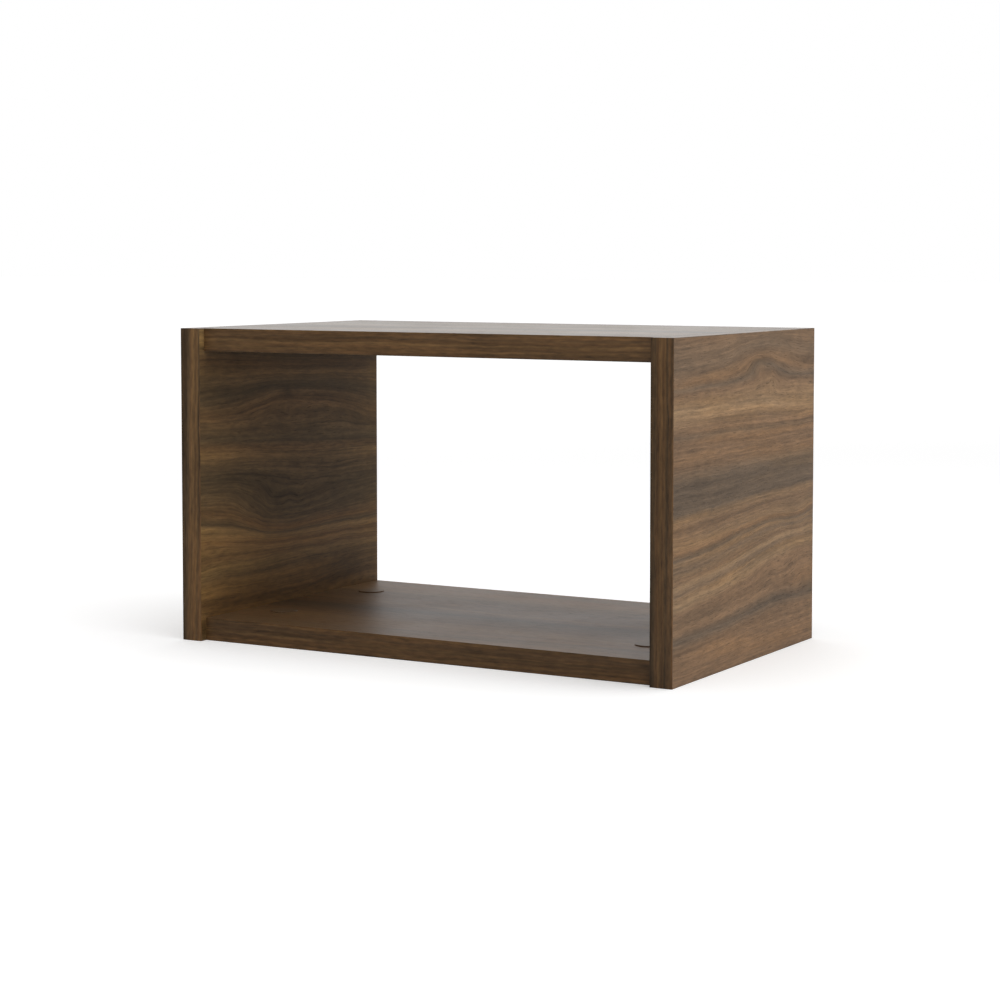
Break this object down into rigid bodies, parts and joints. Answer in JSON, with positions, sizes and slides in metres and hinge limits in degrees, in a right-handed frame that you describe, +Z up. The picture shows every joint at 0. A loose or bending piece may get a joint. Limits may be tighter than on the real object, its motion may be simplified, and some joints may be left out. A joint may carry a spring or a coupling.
{
  "type": "open storage cube module",
  "caption": "Wide storage module in walnut-veneered board, open at the front and back, its side panels joined to the top and bottom by cam locks under round caps.",
  "frame": {"origin": "centre of the footprint, on the surface that the module stands on", "axes": "+X to the right along the width, +Y to the back, +Z up; the open front faces -Y"},
  "size_m": [0.6, 0.357, 0.345],
  "materials": {
    "walnut_veneer": "satin lacquer",
    "walnut_edge_band": "satin lacquer",
    "beech": "raw",
    "bright_steel": "zinc plated",
    "cast_zinc": "die cast",
    "brown_plastic": "fine matt"
  },
  "bodies": {
    "carcass": {"left_side_panel": "walnut_veneer", "left_side_front_band": "walnut_edge_band", "left_side_back_band": "walnut_edge_band", "left_side_top_band": "walnut_edge_band", "left_side_bottom_band": "walnut_edge_band", "right_side_panel": "walnut_veneer", "right_side_front_band": "walnut_edge_band", "right_side_back_band": "walnut_edge_band", "right_side_top_band": "walnut_edge_band", "right_side_bottom_band": "walnut_edge_band", "bottom_panel": "walnut_veneer", "bottom_panel_front_band": "walnut_edge_band", "bottom_panel_back_band": "walnut_edge_band", "top_panel": "walnut_veneer", "top_panel_front_band": "walnut_edge_band", "top_panel_back_band": "walnut_edge_band", "cam_bolt_bottom_left_front": "bright_steel", "dowel_bottom_left_front": "beech", "cam_bolt_bottom_left_back": "bright_steel", "dowel_bottom_left_back": "beech", "cam_bolt_top_left_front": "bright_steel", "dowel_top_left_front": "beech", "cam_bolt_top_left_back": "bright_steel", "dowel_top_left_back": "beech", "cam_bolt_bottom_right_front": "bright_steel", "dowel_bottom_right_front": "beech", "cam_bolt_bottom_right_back": "bright_steel", "dowel_bottom_right_back": "beech", "cam_bolt_top_right_front": "bright_steel", "dowel_top_right_front": "beech", "cam_bolt_top_right_back": "bright_steel", "dowel_top_right_back": "beech"},
    "cam_lock_bottom_left_front": {"cam_lock_bottom_left_front": "cast_zinc"},
    "cover_cap_bottom_left_front": {"cover_cap_bottom_left_front": "brown_plastic"},
    "cam_lock_bottom_left_back": {"cam_lock_bottom_left_back": "cast_zinc"},
    "cover_cap_bottom_left_back": {"cover_cap_bottom_left_back": "brown_plastic"},
    "cam_lock_top_left_front": {"cam_lock_top_left_front": "cast_zinc"},
    "cover_cap_top_left_front": {"cover_cap_top_left_front": "brown_plastic"},
    "cam_lock_top_left_back": {"cam_lock_top_left_back": "cast_zinc"},
    "cover_cap_top_left_back": {"cover_cap_top_left_back": "brown_plastic"},
    "cam_lock_bottom_right_front": {"cam_lock_bottom_right_front": "cast_zinc"},
    "cover_cap_bottom_right_front": {"cover_cap_bottom_right_front": "brown_plastic"},
    "cam_lock_bottom_right_back": {"cam_lock_bottom_right_back": "cast_zinc"},
    "cover_cap_bottom_right_back": {"cover_cap_bottom_right_back": "brown_plastic"},
    "cam_lock_top_right_front": {"cam_lock_top_right_front": "cast_zinc"},
    "cover_cap_top_right_front": {"cover_cap_top_right_front": "brown_plastic"},
    "cam_lock_top_right_back": {"cam_lock_top_right_back": "cast_zinc"},
    "cover_cap_top_right_back": {"cover_cap_top_right_back": "brown_plastic"}
  },
  "joints": [
    {"name": "cam_turn_bottom_left_front", "type": "hinge", "parent": "carcass", "child": "cam_lock_bottom_left_front", "pos_m": [-0.229, -0.086, 0.025], "axis": [0, 0, 1], "range_deg": [0, 180]},
    {"name": "cap_lift_bottom_left_front", "type": "slide", "parent": "carcass", "child": "cover_cap_bottom_left_front", "axis": [0, 0, 1], "range_m": [0, 0.02]},
    {"name": "cam_turn_bottom_left_back", "type": "hinge", "parent": "carcass", "child": "cam_lock_bottom_left_back", "pos_m": [-0.229, 0.0935, 0.025], "axis": [0, 0, 1], "range_deg": [0, 180]},
    {"name": "cap_lift_bottom_left_back", "type": "slide", "parent": "carcass", "child": "cover_cap_bottom_left_back", "axis": [0, 0, 1], "range_m": [0, 0.02]},
    {"name": "cam_turn_top_left_front", "type": "hinge", "parent": "carcass", "child": "cam_lock_top_left_front", "pos_m": [-0.229, -0.086, 0.32], "axis": [0, 0, -1], "range_deg": [0, 180]},
    {"name": "cap_lift_top_left_front", "type": "slide", "parent": "carcass", "child": "cover_cap_top_left_front", "axis": [0, 0, -1], "range_m": [0, 0.02]},
    {"name": "cam_turn_top_left_back", "type": "hinge", "parent": "carcass", "child": "cam_lock_top_left_back", "pos_m": [-0.229, 0.0935, 0.32], "axis": [0, 0, -1], "range_deg": [0, 180]},
    {"name": "cap_lift_top_left_back", "type": "slide", "parent": "carcass", "child": "cover_cap_top_left_back", "axis": [0, 0, -1], "range_m": [0, 0.02]},
    {"name": "cam_turn_bottom_right_front", "type": "hinge", "parent": "carcass", "child": "cam_lock_bottom_right_front", "pos_m": [0.229, -0.086, 0.025], "axis": [0, 0, 1], "range_deg": [0, 180]},
    {"name": "cap_lift_bottom_right_front", "type": "slide", "parent": "carcass", "child": "cover_cap_bottom_right_front", "axis": [0, 0, 1], "range_m": [0, 0.02]},
    {"name": "cam_turn_bottom_right_back", "type": "hinge", "parent": "carcass", "child": "cam_lock_bottom_right_back", "pos_m": [0.229, 0.0935, 0.025], "axis": [0, 0, 1], "range_deg": [0, 180]},
    {"name": "cap_lift_bottom_right_back", "type": "slide", "parent": "carcass", "child": "cover_cap_bottom_right_back", "axis": [0, 0, 1], "range_m": [0, 0.02]},
    {"name": "cam_turn_top_right_front", "type": "hinge", "parent": "carcass", "child": "cam_lock_top_right_front", "pos_m": [0.229, -0.086, 0.32], "axis": [0, 0, -1], "range_deg": [0, 180]},
    {"name": "cap_lift_top_right_front", "type": "slide", "parent": "carcass", "child": "cover_cap_top_right_front", "axis": [0, 0, -1], "range_m": [0, 0.02]},
    {"name": "cam_turn_top_right_back", "type": "hinge", "parent": "carcass", "child": "cam_lock_top_right_back", "pos_m": [0.229, 0.0935, 0.32], "axis": [0, 0, -1], "range_deg": [0, 180]},
    {"name": "cap_lift_top_right_back", "type": "slide", "parent": "carcass", "child": "cover_cap_top_right_back", "axis": [0, 0, -1], "range_m": [0, 0.02]}
  ]
}
